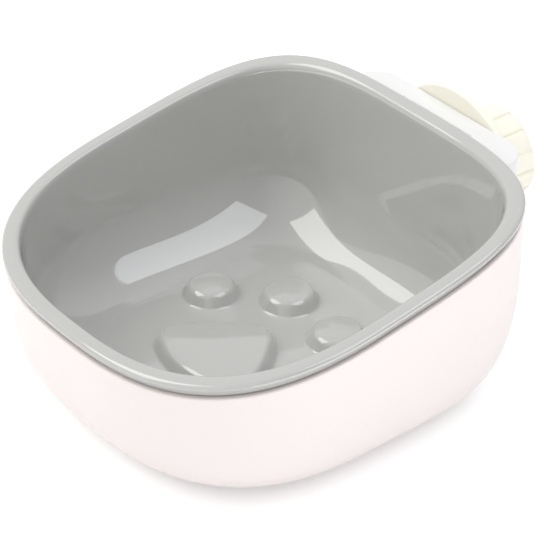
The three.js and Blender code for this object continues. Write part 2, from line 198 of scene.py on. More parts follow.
class PawSizes(bpy.types.PropertyGroup):
    """The paw that stands up from the basin's floor"""

    height: length("Height", "How far the paw stands up from the floor", 0.0046)
    toe_turn: angle("Toe turn", "Turn of the toes round the middle of the basin", -4)
    slope: angle("Slope", "Slope of the paw's sides", 62)
    edge: length("Edge", "Rounding of the paw's top edges", 0.0028)
    root: length("Root", "Rounding where the paw meets the floor", 0.0014)
    crown: length("Crown", "How far the middle of a toe or the pad stands over its top edge", 0.0006)
    inner_toe: place("Inner toe", "Middle of the right inner toe", (0.0142, 0.0266))
    inner_toe_radius: length("Inner toe radius", "Radius of an inner toe", 0.0106)
    outer_toe: place("Outer toe", "Middle of the right outer toe", (0.0329, 0.0071))
    outer_toe_radius: length("Outer toe radius", "Radius of an outer toe", 0.01)
    pad_tip: place("Pad tip", "Middle of the pad's rounded tip", (0.0, -0.0018))
    pad_tip_radius: length("Pad tip radius", "Radius of the pad's tip", 0.0115)
    pad_heel: place("Pad heel", "Middle of the pad's right rounded heel", (0.0139, -0.0176))
    pad_heel_radius: length("Pad heel radius", "Radius of the pad's heels", 0.0093)
    pad_side: length("Pad side", "Radius of the curve between the pad's tip and a heel", 0.07)
    pad_front: length("Pad front", "How far the pad's curved front reaches forward", 0.0301)


class ShellSizes(bpy.types.PropertyGroup):
    """The pale outer shell and the rail at its back"""

    setback: length("Setback", "How far the shell stands back from the rim's outer edge", 0.0005)
    gap: length("Gap", "Gap between the lip and the shell's top", 0.0003)
    wall: length("Wall", "Thickness of the shell's wall", 0.0024)
    floor: length("Floor", "Thickness of the shell's floor", 0.0024)
    top_edge: length("Top edge", "Rounding of the shell's top edge", 0.0006)
    draft: angle("Draft", "How much the wall leans out towards the top", 2)
    rounding_height: length("Rounding height", "Height at which the wall starts to turn in", 0.048)
    rounding_side: length("Side rounding", "How far the sides turn in", 0.026)
    rounding_back: length("Back rounding", "How far the back turns in", 0.022)
    rounding_front: length("Front rounding", "How far the front turns in", 0.028)
    rounding_power: number("Rounding power", "How tight the turn at the base is", 2.6)
    back_squareness: number("Back squareness", "How square the base's back corners are", 4.6)
    front_squareness: number("Front squareness", "How square the base's front corners are", 2.6)
    foot_width: length("Foot width", "Width of the ring that the shell stands on", 0.005)
    foot_height: length("Foot height", "How far the base is set up inside its foot", 0.0008)
    rail_root: length("Rail root", "Where the rail's neck starts, inside the shell's wall", 0.0739)
    rail_neck: length("Rail neck", "Width of the rail's neck", 0.022)
    rail_head: length("Rail head", "Width of the rail's head", 0.034)
    rail_head_front: length("Rail head front", "Where the rail's head starts", 0.0792)
    rail_head_back: length("Rail head back", "Where the rail's head ends", 0.0814)
    rail_low: length("Rail low end", "Height of the rail's lower end", 0.0278)
    rail_high: length("Rail high end", "Height of the rail's upper end", 0.0713)
    rail_edge: length("Rail edge", "Rounding of the rail's edges", 0.0004)


class HangerSizes(bpy.types.PropertyGroup):
    """The white block that takes the rail and holds the screw"""

    corner: length("Corner", "Radius of the block's two back corners", 0.011)
    edge: length("Edge", "Rounding of the block's edges", 0.001)
    slot_gap: length("Slot gap", "Gap all round the rail", 0.0003)
    slot_floor: length("Slot floor", "Height of the stop under the rail", 0.0275)
    pocket_width: length("Pocket width", "Width of the pocket for the screw's square head", 0.0156)
    pocket_back: length("Pocket back", "Where the pocket for the screw's head ends", 0.0859)


class ClampSizes(bpy.types.PropertyGroup):
    """The screw, disc and knob, all on one axis"""

    height: length("Axis height", "Height of the clamp's axis", (DISC_LOW.z + DISC_HIGH.z) / 2)
    bore: length("Bore radius", "Radius of the bores round the screw", 0.0053)
    screw_radius: length("Screw radius", "Radius over the thread", 0.005)
    thread_depth: length("Thread depth", "Depth of the thread", 0.0011)
    thread_pitch: length("Thread pitch", "Travel for each turn", 0.004)
    screw_head_thickness: length("Head thickness", "Thickness of the screw's square head", 0.0036)
    screw_tip: length("Tip chamfer", "Chamfer at the screw's tip", 0.0012)
    disc_edge: length("Disc edge", "Rounding of the disc's edge", 0.001)
    grip_depth: length("Grip depth", "Depth of the rings on the disc's gripping face", 0.0004)
    grip_inner: length("Grip inner", "Radius at which the rings on the disc start", 0.0122)
    grip_outer: length("Grip outer", "Radius at which the rings on the disc end", 0.0238)
    knob_ribs: bpy.props.IntProperty(name="Knob ribs", description="Ribs round the knob", default=14, min=3)
    groove_depth: length("Groove depth", "Depth of the grooves between the ribs", 0.0009)
    groove_width: length("Groove width", "Width of the grooves between the ribs", 0.0019)
    knob_edge: length("Knob edge", "Rounding of the knob's end", 0.0024)
    knob_front_edge: length("Knob front edge", "Rounding of the knob's front edge", 0.0008)
    knob_end_wall: length("Knob end wall", "Thickness of the wall that closes the knob", 0.0025)
    knob_dish: length("Knob dish", "How far the knob's end is dished", 0.0006)


class FinishColours(bpy.types.PropertyGroup):
    """The colours of the plastics and the floor"""

    bowl: colour("Bowl", "Glossy grey of the basin", (0.482, 0.48, 0.463))
    shell: colour("Shell", "Pale pink of the shell", (0.885, 0.817, 0.803))
    hanger: colour("Hanger", "White of the hanger and the screw", (0.825, 0.825, 0.815))
    clamp: colour("Clamp", "Cream of the disc and the knob", (0.955, 0.93, 0.81))
    floor: colour("Floor", "Plain pale floor", (0.9, 0.9, 0.9))


class StudioSettings(bpy.types.PropertyGroup):
    """The camera and the lights"""

    azimuth: angle("Azimuth", "Turn of the camera round the bowl", 51.97)
    elevation: angle("Elevation", "Height of the camera over the horizon", 32.43)
    distance: length("Distance", "Distance of the camera from the middle of the rim", 0.9175)
    focal_pixels: number("Focal length", "Focal length in pixels of the image", 2821.7)
    centre_x: number("Centre across", "Where the middle of the rim lies in the image, across", 247.71)
    centre_y: number("Centre down", "Where the middle of the rim lies in the image, down", 217.15)
    image_pixels: number("Image", "Width and height of the image in pixels", 540.0)
    wall_light: number("Wall light", "Radiance of the studio's walls", 0.42)
    ceiling_light: number("Ceiling light", "Radiance of the studio's ceiling", 0.42)
    front_light: number("Front light", "Radiance that is added at the front, above", 0.575)
    floor_glow: number("Floor glow", "Radiance that the camera sees added to the floor near the bowl", 0.3)
    rear_light: number("Rear light", "Radiance that is added at the back left, above", 0.47)
    right_light: number("Right light", "Radiance of the soft box at the back right", 2.05)
    left_light: number("Left light", "Radiance of the soft box at the front left", 2.55)
    strip_light: number("Strip light", "Radiance of the low strip at the right of the bowl", 3.2)
    strip_distance: length("Strip distance", "Distance of the low strip", 0.36)
    right_tint: colour("Right tint", "Colour of the soft box at the back right", (0.92, 0.94, 1.0))
    left_tint: colour("Left tint", "Colour of the soft box at the front left", (1.0, 0.995, 0.96))
    light_distance: length("Light distance", "Distance of the soft boxes", 2.0)


class HangingBowlSettings(bpy.types.PropertyGroup):
    """All settings of the hanging bowl"""

    mouth: group(MouthSizes, "Mouth", "Sizes of the mouth")
    basin: group(BasinSizes, "Basin", "Sizes of the basin")
    paw: group(PawSizes, "Paw", "Sizes of the paw")
    shell: group(ShellSizes, "Shell", "Sizes of the shell")
    hanger: group(HangerSizes, "Hanger", "Sizes of the hanger")
    clamp: group(ClampSizes, "Clamp", "Sizes of the clamp")
    colours: group(FinishColours, "Colours", "Colours of the finishes")
    studio: group(StudioSettings, "Studio", "Camera and lights")


def settings():
    return bpy.context.scene.hanging_bowl


# Small tools

def mix(start, end, share):
    return start + (end - start) * share


def deselect():
    if bpy.context.mode != "OBJECT":
        bpy.ops.object.mode_set(mode="OBJECT")
    bpy.ops.object.select_all(action="DESELECT")


def choose(piece):
    deselect()
    piece.select_set(True)
    bpy.context.view_layer.objects.active = piece


def named(name):
    piece = bpy.context.object
    piece.name = name
    piece.data.name = name
    return piece


def quarter(steps):
    return [QUARTER_TURN * step / steps for step in range(steps + 1)]


def rounding(radius):
    """Steps round an edge from its top to its side, as distances in from the side and down from the top"""
    return [(radius * (1 - math.sin(turn)), radius * (1 - math.cos(turn))) for turn in quarter(EDGE_RINGS)]


def set_ring(mesh, spots, ring):
    """Moves the selected ring of vertices to an outline, each to the point of its own turn"""
    edit = bmesh.from_edit_mesh(mesh)
    chosen = [vertex for vertex in edit.verts if vertex.select]
    if spots is None:
        spots = {tuple(vertex.co): index for index, vertex in enumerate(chosen)}
    placed = {}
    for vertex in chosen:
        index = spots[tuple(vertex.co)]
        vertex.co = ring[index]
        placed[tuple(vertex.co)] = index
    bmesh.update_edit_mesh(mesh)
    return placed


def loft(name, rings):
    """A circle, extruded once for each further ring"""
    deselect()
    bpy.ops.mesh.primitive_circle_add(vertices=len(rings[0]), radius=1, fill_type="NOTHING")
    piece = named(name)
    bpy.ops.object.mode_set(mode="EDIT")
    bpy.ops.mesh.select_mode(type="EDGE")
    bpy.ops.mesh.select_all(action="SELECT")
    spots = set_ring(piece.data, None, rings[0])
    for ring in rings[1:]:
        bpy.ops.mesh.extrude_region_move()
        spots = set_ring(piece.data, spots, ring)
    bpy.ops.object.mode_set(mode="OBJECT")
    return piece


def select_edges(piece, test):
    """Edit mode, with the edges selected that pass the test"""
    choose(piece)
    bpy.ops.object.mode_set(mode="EDIT")
    bpy.ops.mesh.select_mode(type="EDGE")
    bpy.ops.mesh.select_all(action="DESELECT")
    edit = bmesh.from_edit_mesh(piece.data)
    for edge in edit.edges:
        if test(edge):
            edge.select_set(True)
    bmesh.update_edit_mesh(piece.data)


def select_open_edges(piece, test):
    """Edit mode, with those open edges selected whose middle passes the test"""

    def is_open(edge):
        return edge.is_boundary and test((edge.verts[0].co + edge.verts[1].co) / 2)

    select_edges(piece, is_open)


def close_holes(piece, test):
    """Closes the open edges that pass the test with one flat face each"""
    select_open_edges(piece, test)
    bpy.ops.mesh.edge_face_add()
    bpy.ops.object.mode_set(mode="OBJECT")


def fill_between(piece, test):
    """Fills a flat face between an outer ring and the rings inside it"""
    select_open_edges(piece, test)
    bpy.ops.mesh.fill(use_beauty=True)
    bpy.ops.object.mode_set(mode="OBJECT")


def bridge_ends(piece, test):
    """Joins two open rings with a band of faces"""
    select_open_edges(piece, test)
    bpy.ops.mesh.bridge_edge_loops()
    bpy.ops.object.mode_set(mode="OBJECT")


def join(piece, others):
    choose(piece)
    for other in others:
        other.select_set(True)
    bpy.ops.object.join()
    return piece


def face_outwards(piece):
    choose(piece)
    bpy.ops.object.mode_set(mode="EDIT")
    bpy.ops.mesh.select_all(action="SELECT")
    bpy.ops.mesh.remove_doubles(threshold=MERGE_DISTANCE)
    bpy.ops.mesh.normals_make_consistent(inside=False)
    bpy.ops.object.mode_set(mode="OBJECT")


def combine(piece, other, operation):
    """A boolean that uses up the other object"""
    choose(piece)
    modifier = piece.modifiers.new(name=operation, type="BOOLEAN")
    modifier.operation = operation
    modifier.solver = "EXACT"
    modifier.object = other
    bpy.ops.object.modifier_apply(modifier=modifier.name)
    bpy.data.objects.remove(other, do_unlink=True)


def round_edges(piece, width, segments):
    choose(piece)
    modifier = piece.modifiers.new(name="edges", type="BEVEL")
    modifier.width = width
    modifier.segments = segments
    modifier.limit_method = "ANGLE"
    modifier.angle_limit = BEVEL_ANGLE
    bpy.ops.object.modifier_apply(modifier=modifier.name)


def block(name, low, high):
    """A box between two corners"""
    deselect()
    middle = (Vector(low) + Vector(high)) / 2
    size = Vector(high) - Vector(low)
    bpy.ops.mesh.primitive_cube_add(size=1, location=middle, scale=size)
    piece = named(name)
    bpy.ops.object.transform_apply(location=True, rotation=True, scale=True)
    return piece


def finish_piece(piece, body, node, slot):
    """Smooth shading and a finish; the piece is hung on its body, and the solid that it stands for is hidden
    """
    choose(piece)
    bpy.ops.object.shade_smooth_by_angle(angle=SMOOTH_ANGLE)
    piece.data.materials.clear()
    piece.data.materials.append(finish(slot))
    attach(piece, body)
    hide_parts(node)


# Outlines of the bowl: superellipses in two parts, a back half and a front half

def outline(section, count):
    points = []
    for index in range(count):
        turn = FULL_TURN * index / count
        across = -math.sin(turn)
        along = math.cos(turn)
        reach = section.back if along >= 0 else section.front
        power = section.back_power if along >= 0 else section.front_power
        total = abs(across / section.side) ** power + abs(along / reach) ** power
        radius = total ** (-1 / power)
        points.append((radius * across, radius * along))
    return points


def tilted_ring(section, depth, level):
    """A ring at a depth under the rim: level is 0 where it tilts with the rim and 1 where it lies flat"""
    mouth = settings().mouth
    slope = math.tan(mouth.tilt) * (1 - level)
    points = outline(section, RING_POINTS)
    return [Vector((x, y, mouth.height - depth + y * slope)) for x, y in points]


def flat_ring(section, height):
    return [Vector((x, y, height)) for x, y in outline(section, RING_POINTS)]


def rounded_inset(share, power):
    """How far a wall has turned in: 0 where its rounding starts and 1 at the flat"""
    reach = min(max(share, 0), 1)
    return 1 - (1 - reach ** power) ** (1 / power)


def rounding_depths(top, start, bottom, straight, turning):
    """Depths down a wall: even steps, then steps that crowd towards the flat"""
    depths = [mix(top, start, step / straight) for step in range(straight)]
    depths += [mix(start, bottom, math.sin(turn)) for turn in quarter(turning)]
    return depths


def mouth_section(inset):
    mouth = settings().mouth
    return Section(
        mouth.half_width - inset,
        mouth.back - inset,
        mouth.front - inset,
        mouth.back_squareness,
        mouth.front_squareness,
    )


# Basin

def basin_section(depth, inset, level):
    mouth = settings().mouth
    basin = settings().basin
    full_depth = mouth.height - basin.floor_height
    share = (depth - full_depth + basin.fillet_height) / basin.fillet_height
    short = math.cos(basin.crease)
    turned = rounded_inset(share * short, 2) / rounded_inset(short, 2)
    drawn = mouth.rim_width - inset + depth * math.tan(basin.draft)
    return Section(
        mouth.half_width - drawn - turned * basin.fillet_side,
        mouth.back - drawn - turned * basin.fillet_back,
        mouth.front - drawn - turned * basin.fillet_front,
        mix(mouth.back_squareness, basin.back_squareness, level),
        mix(mouth.front_squareness, basin.front_squareness, level),
    )


def basin_wall(top, inset, drop, straight, turning):
    """Rings of one face of the basin's wall, from a depth down to the floor"""
    mouth = settings().mouth
    basin = settings().basin
    bottom = mouth.height - basin.floor_height
    start = bottom - basin.fillet_height
    rings = []
    for depth in rounding_depths(top, start, bottom, straight, turning):
        level = (depth - top) / (bottom - top)
        rings.append(tilted_ring(basin_section(depth, inset, level), depth + drop * level, level))
    rings.append(tilted_ring(basin_section(bottom, inset - basin.crease_width, 1), bottom + drop, 1))
    return rings


def rim_rings():
    """Rings over the rim, from the top of the inner wall out, round the flange and down the lip"""
    mouth = settings().mouth
    basin = settings().basin
    rings = []
    flat_start = mouth.rim_width - mouth.inner_edge
    inner_turn = QUARTER_TURN - basin.draft
    for turn in reversed(quarter(EDGE_RINGS)[:-1]):
        swing = turn * inner_turn / QUARTER_TURN
        inset = flat_start + mouth.inner_edge * math.sin(swing)
        rings.append(tilted_ring(mouth_section(inset), mouth.inner_edge * (1 - math.cos(swing)), 0))
    for inset, depth in rounding(mouth.outer_edge):
        rings.append(tilted_ring(mouth_section(inset), depth, 0))
    for rise, inset in rounding(mouth.flange_edge):
        rings.append(tilted_ring(mouth_section(inset), mouth.flange - rise, 0))
    for depth in (mouth.flange, mouth.lip_height):
        rings.append(tilted_ring(mouth_section(mouth.lip_recess), depth, 0))
    return rings


def toe_outline(middle, radius, inset):
    points = []
    for index in range(TOE_POINTS):
        turn = FULL_TURN * index / TOE_POINTS
        reach = radius - inset
        points.append((middle[0] + reach * math.cos(turn), middle[1] + reach * math.sin(turn)))
    return points


def arc_points(middle, radius, start, end):
    turns = [mix(start, end, step / PAD_ARC_POINTS) for step in range(PAD_ARC_POINTS + 1)]
    return [(middle[0] + radius * math.cos(turn), middle[1] + radius * math.sin(turn)) for turn in turns]


def pad_side_middle():
    """Middle of the right side's curve, which runs smoothly from the heel into the tip"""
    paw = settings().paw
    tip = Vector(paw.pad_tip)
    step = Vector(paw.pad_heel) - tip
    gap = step.length
    tip_reach = paw.pad_side - paw.pad_tip_radius
    heel_reach = paw.pad_side - paw.pad_heel_radius
    along = (gap ** 2 + tip_reach ** 2 - heel_reach ** 2) / (2 * gap)
    inward = Vector((step.y, -step.x)) / gap
    return tip + step * (along / gap) + inward * math.sqrt(tip_reach ** 2 - along ** 2)


def pad_outline(inset):
    """A rounded triangle with its tip towards the toes, curved sides and a curved front between its heels"""
    paw = settings().paw
    across, heel_y = paw.pad_heel
    middle = pad_side_middle()
    heel_turn = math.atan2(heel_y - middle.y, across - middle.x)
    tip_turn = math.atan2(paw.pad_tip[1] - middle.y, paw.pad_tip[0] - middle.x)
    reach = paw.pad_front - paw.pad_heel_radius
    front_y = (across ** 2 + heel_y ** 2 - reach ** 2) / (2 * (reach + heel_y))
    front_radius = front_y + paw.pad_front
    front = math.atan2(front_y - heel_y, across)
    heel = paw.pad_heel_radius - inset
    side = paw.pad_side - inset
    points = arc_points(paw.pad_heel, heel, -front, heel_turn)
    points += arc_points(middle, side, heel_turn, tip_turn)[1:-1]
    points += arc_points(paw.pad_tip, paw.pad_tip_radius - inset, tip_turn, math.pi - tip_turn)
    points += arc_points((-middle.x, middle.y), side, math.pi - tip_turn, math.pi - heel_turn)[1:-1]
    points += arc_points((-across, heel_y), heel, math.pi - heel_turn, math.pi + front)
    points += arc_points((0, front_y), front_radius - inset, math.pi + front, FULL_TURN - front)[1:-1]
    return points


def raised_levels(thin):
    """Insets and heights up the side of the paw: a hollow root, a straight slope and a rounded edge"""
    paw = settings().paw
    bend = math.tan(paw.slope / 2)
    levels = []
    for turn in quarter(EDGE_RINGS):
        swing = turn * paw.slope / QUARTER_TURN
        inset = paw.root * (math.sin(swing) - bend)
        levels.append((thin + inset, paw.root * (1 - math.cos(swing))))
    shoulder = paw.height / math.tan(paw.slope) + paw.edge * bend
    for turn in reversed(quarter(EDGE_RINGS)):
        swing = turn * paw.slope / QUARTER_TURN
        inset = shoulder - paw.edge * math.sin(swing)
        levels.append((thin + inset, paw.height - paw.edge * (1 - math.cos(swing))))
    return levels


def raised_form(name, outline_at, floor, thin):
    """A low button with sloping sides and a slightly crowned top"""
    paw = settings().paw
    rings = []
    for inset, height in raised_levels(thin):
        rings.append([Vector((x, y, floor + height)) for x, y in outline_at(inset)])
    last = rings[-1]
    middle = sum(last, Vector()) / len(last)
    for share in CROWN_SHARES:
        lift = Vector((0, 0, paw.crown * (1 - share ** 2)))
        rings.append([middle + (point - middle) * share + lift for point in last])
    piece = loft(name, rings)
    close_holes(piece, lambda spot: spot.z > floor + paw.height)
    return piece


def paw_forms(name, floor, thin):
    paw = settings().paw
    forms = [raised_form(name + "_pad", pad_outline, floor, thin)]
    toes = (
        (paw.inner_toe, paw.inner_toe_radius),
        (paw.outer_toe, paw.outer_toe_radius),
    )
    for middle, radius in toes:
        for side in (1, -1):
            spot = Matrix.Rotation(paw.toe_turn, 2) @ Vector((side * middle[0], middle[1]))

            def outline_at(inset):
                return toe_outline(spot, radius, inset)

            forms.append(raised_form(name + "_toe", outline_at, floor, thin))
    return forms


def make_bowl():
    mouth = settings().mouth
    basin = settings().basin
    top = mouth.inner_edge * (1 - math.sin(basin.draft))
    inside = basin_wall(top, 0, 0, WALL_RINGS, ROUNDING_RINGS)
    outside = basin_wall(mouth.lip_height, basin.wall, basin.wall, WALL_RINGS, HIDDEN_RINGS)
    piece = loft("bowl", inside[::-1] + rim_rings() + outside)
    floor = basin.floor_height
    underside = floor - basin.wall
    near = basin.wall / 4
    join(piece, paw_forms("raised", floor, 0))
    fill_between(piece, lambda spot: abs(spot.z - floor) < near)
    join(piece, paw_forms("hollow", underside, basin.wall))
    fill_between(piece, lambda spot: abs(spot.z - underside) < near)
    face_outwards(piece)
    return piece


# Shell

def shell_top():
    """Depth of the shell's top under the rim"""
    return settings().mouth.lip_height + settings().shell.gap


def shell_section(depth, inset, level):
    mouth = settings().mouth
    shell = settings().shell
    share = (depth - mouth.height + shell.rounding_height) / shell.rounding_height
    turned = rounded_inset(share, shell.rounding_power)
    drawn = shell.setback + inset + (depth - shell_top()) * math.tan(shell.draft)
    return Section(
        mouth.half_width - drawn - turned * shell.rounding_side,
        mouth.back - drawn - turned * shell.rounding_back,
        mouth.front - drawn - turned * shell.rounding_front,
        mix(mouth.back_squareness, shell.back_squareness, level),
        mix(mouth.front_squareness, shell.front_squareness, level),
    )


def shell_wall(inset, lift, edge, straight, turning):
    """Rings of one face of the shell's wall, from under its top edge down to the base"""
    mouth = settings().mouth
    shell = settings().shell
    top = shell_top()
    start = mouth.height - shell.rounding_height
    rings = []
    for depth in rounding_depths(top + edge, start, mouth.height, straight, turning):
        level = (depth - top) / (mouth.height - top)
        rings.append(tilted_ring(shell_section(depth, inset, level), depth - lift * level, level))
    return rings


def shell_top_edge():
    """Rings over the shell's top edge, from the inner face out"""
    shell = settings().shell
    top = shell_top()
    inner = shell.setback + shell.wall
    edge = rounding(shell.top_edge)
    rings = []
    for drop, inward in edge[:-1]:
        rings.append(tilted_ring(mouth_section(inner - inward), top + drop, 0))
    for inward, drop in edge:
        rings.append(tilted_ring(mouth_section(shell.setback + inward), top + drop, 0))
    return rings


def base_rings():
    """The foot that the shell stands on and the base set up inside it"""
    mouth = settings().mouth
    shell = settings().shell
    rings = []
    for inset, height in (
        (shell.foot_width - shell.foot_height, 0),
        (shell.foot_width, shell.foot_height / 3),
        (shell.foot_width + shell.foot_height, shell.foot_height),
    ):
        rings.append(flat_ring(shell_section(mouth.height, inset, 1), height))
    return rings


def rail():
    """A T in plan that the hanger slides down over"""
    shell = settings().shell
    neck = shell.rail_neck / 2
    head = shell.rail_head / 2
    low = shell.rail_low
    high = shell.rail_high
    back = shell.rail_head_back
    stem = block("rail", (-neck, shell.rail_root, low), (neck, back, high))
    bar = block("rail_head", (-head, shell.rail_head_front, low), (head, back, high))
    combine(stem, bar, "UNION")
    round_edges(stem, shell.rail_edge, RAIL_EDGE_SEGMENTS)
    return stem


def make_shell():
    shell = settings().shell
    hollow = shell_wall(shell.wall, shell.floor, shell.top_edge, WALL_RINGS // 2, HIDDEN_RINGS)
    outer = shell_wall(0, 0, shell.top_edge, WALL_RINGS, ROUNDING_RINGS + WALL_RINGS)
    piece = loft("shell", hollow[::-1] + shell_top_edge() + outer[1:] + base_rings())
    close_holes(piece, lambda spot: spot.z < 2 * shell.floor)
    face_outwards(piece)
    return piece


# Hanger

def make_hanger():
    hanger = settings().hanger
    shell = settings().shell
    clamp = settings().clamp
    piece = block("hanger", HANGER_LOW, HANGER_HIGH)

    def is_back_corner(edge):
        ends = [vertex.co for vertex in edge.verts]
        upright = abs(ends[0].z - ends[1].z) > hanger.corner
        return upright and min(end.y for end in ends) > HANGER_HIGH.y - hanger.edge

    select_edges(piece, is_back_corner)
    bpy.ops.mesh.bevel(offset=hanger.corner, segments=CORNER_SEGMENTS, affect="EDGES")
    bpy.ops.object.mode_set(mode="OBJECT")
    gap = hanger.slot_gap
    above = HANGER_HIGH.z + hanger.corner
    ahead = HANGER_LOW.y - hanger.corner
    neck = shell.rail_neck / 2 + gap
    head = shell.rail_head / 2 + gap
    head_front = shell.rail_head_front - gap
    head_back = shell.rail_head_back + gap
    half = hanger.pocket_width / 2
    cuts = (
        ((-neck, ahead, hanger.slot_floor), (neck, head_back, above)),
        ((-head, head_front, hanger.slot_floor), (head, head_back, above)),
        ((-half, head_front, clamp.height - half), (half, hanger.pocket_back, clamp.height + half)),
    )
    for low, high in cuts:
        combine(piece, block("cutter", low, high), "DIFFERENCE")
    deselect()
    bpy.ops.mesh.primitive_cylinder_add(
        vertices=ROUND_POINTS // 2,
        radius=clamp.bore,
        depth=2 * hanger.corner,
        location=(0, HANGER_HIGH.y, clamp.height),
        rotation=(QUARTER_TURN, 0, 0),
    )
    bpy.ops.object.transform_apply(location=True, rotation=True, scale=True)
    combine(piece, named("cutter"), "DIFFERENCE")
    round_edges(piece, hanger.edge, EDGE_SEGMENTS)
    face_outwards(piece)
    return piece


# Clamp

def axis_ring(y, count, radius_at):
    """A ring round the clamp's axis: its radius may change with the turn, which starts at the top"""
    height = settings().clamp.height
    ring = []
    for index in range(count):
        turn = FULL_TURN * index / count
        radius = radius_at(turn)
        ring.append(Vector((radius * math.sin(turn), y, height + radius * math.cos(turn))))
    return ring


def turned_rings(profile, count):
    return [axis_ring(y, count, lambda turn: radius) for radius, y in profile]


def thread_rings():
    """A thread with flat crests and roots, as a ring at each small step along the axis"""
    clamp = settings().clamp
    start = SCREW_LOW.y + clamp.screw_head_thickness / 2
    steps = round((SCREW_HIGH.y - start) / THREAD_RING_STEP)
    rings = []
    for step in range(steps + 1):
        y = mix(start, SCREW_HIGH.y, step / steps)
        taper = max(0, clamp.screw_tip - (SCREW_HIGH.y - y))

        def radius_at(turn):
            phase = (y / clamp.thread_pitch - turn / FULL_TURN) % 1
            flank = min(max((abs(phase - 0.5) - CREST_SHARE / 2) / FLANK_SHARE, 0), 1)
            return min(clamp.screw_radius - clamp.thread_depth * flank, clamp.screw_radius - taper)

        rings.append(axis_ring(y, THREAD_POINTS, radius_at))
    return rings


def make_screw():
    clamp = settings().clamp
    hanger = settings().hanger
    piece = loft("screw", thread_rings())
    close_holes(piece, lambda spot: True)
    face_outwards(piece)
    low = SCREW_LOW.copy()
    high = SCREW_HIGH.copy()
    high.y = low.y + clamp.screw_head_thickness
    head = block("screw_head", low, high)
    round_edges(head, hanger.edge / 2, HEAD_EDGE_SEGMENTS)
    combine(piece, head, "UNION")
    face_outwards(piece)
    return piece


def disc_profile():
    """Radius and place along the axis, from the bore over the gripping face and round to the bore"""
    clamp = settings().clamp
    front = DISC_LOW.y
    back = DISC_HIGH.y
    rim = DISC_HIGH.x
    edge = clamp.disc_edge
    bore = clamp.bore
    profile = [(bore, (front + back) / 2), (bore, front + edge / 2), (bore + edge / 2, front)]
    pitch = (clamp.grip_outer - clamp.grip_inner) / GRIP_RINGS
    for index in range(GRIP_RINGS):
        inner = clamp.grip_inner + index * pitch
        for share, depth in GRIP_SHAPE:
            profile.append((inner + share * pitch, front + depth * clamp.grip_depth))
    profile += [(rim - inward, front + along) for inward, along in rounding(edge)]
    profile += [(rim - inward, back - along) for along, inward in rounding(edge)]
    profile += [(bore + edge / 2, back), (bore, back - edge / 2)]
    return profile


def make_disc():
    piece = loft("disc", turned_rings(disc_profile(), ROUND_POINTS))
    bridge_ends(piece, lambda spot: True)
    face_outwards(piece)
    return piece


def knob_profile():
    """Radius, place along the axis and share of the grooves, from the bore's end to the knob's end"""
    clamp = settings().clamp
    front = KNOB_LOW.y
    end = KNOB_HIGH.y
    rim = KNOB_HIGH.z - clamp.height
    bore_end = end - clamp.knob_end_wall
    edge = clamp.knob_front_edge
    profile = [(clamp.bore, bore_end, 0), (clamp.bore, front + edge, 0), (clamp.bore + edge, front, 0)]
    for inward, along in rounding(edge):
        profile.append((rim - inward, front + along, 1 - inward / edge))
    round_end = clamp.knob_edge
    for turn in quarter(2 * EDGE_RINGS):
        share = math.cos(turn)
        profile.append((rim - round_end * (1 - share), end - round_end * (1 - math.sin(turn)), share))
    dish_start = rim - 2 * round_end
    for inward, deep in DISH_SHAPE:
        profile.append((dish_start - inward * clamp.knob_dish, end - deep * clamp.knob_dish, 0))
    return profile


def knob_ring(radius, y, share):
    clamp = settings().clamp
    pitch = FULL_TURN / clamp.knob_ribs
    half = clamp.groove_width / KNOB_HIGH.x / 2

    def radius_at(turn):
        off = abs((turn % pitch) - pitch / 2)
        cut = math.cos(min(off / half, 1) * QUARTER_TURN) ** 2
        return radius - share * clamp.groove_depth * cut

    return axis_ring(y, clamp.knob_ribs * KNOB_POINTS_PER_RIB, radius_at)


def make_knob():
    clamp = settings().clamp
    piece = loft("knob", [knob_ring(*spot) for spot in knob_profile()])
    close_holes(piece, lambda spot: spot.y > KNOB_HIGH.y - clamp.knob_end_wall / 2)
    close_holes(piece, lambda spot: True)
    face_outwards(piece)
    return piece


# Finishes

class Nodes:
    """A material's nodes, made and joined one by one"""

    def __init__(self, name):
        self.material = bpy.data.materials.new(name)
        self.material.use_nodes = True
        self.tree = self.material.node_tree
        self.tree.nodes.clear()

    def add(self, kind, **values):
        node = self.tree.nodes.new(kind)
        for key, value in values.items():
            if hasattr(node, key):
                setattr(node, key, value)
            else:
                node.inputs[key.replace("_", " ")].default_value = value
        return node

    def link(self, source, target):
        self.tree.links.new(source, target)

    def calculate(self, operation, first, second):
        node = self.add("ShaderNodeMath", operation=operation)
        self.link(first, node.inputs[0])
        self.link(second, node.inputs[1])
        return node.outputs[0]

    def map_range(self, value, source, target, kind="SMOOTHSTEP"):
        """A value taken from one span to another"""
        node = self.add("ShaderNodeMapRange", interpolation_type=kind)
        for key, span in (("From", source), ("To", target)):
            node.inputs[key + " Min"].default_value = span[0]
            node.inputs[key + " Max"].default_value = span[1]
        self.link(value, node.inputs["Value"])
        return node.outputs["Result"]

    def clouded(self, noise, tint, dimming, span):
        """A tint that is a little darker where the noise is low"""
        shades = self.add("ShaderNodeValToRGB")
        tints = ([channel * dimming for channel in tint], list(tint))
        for element, position, shade in zip(shades.color_ramp.elements, span, tints):
            element.position = position
            element.color = shade + [1]
        self.link(noise.outputs["Fac"], shades.inputs["Fac"])
        return shades.outputs["Color"]


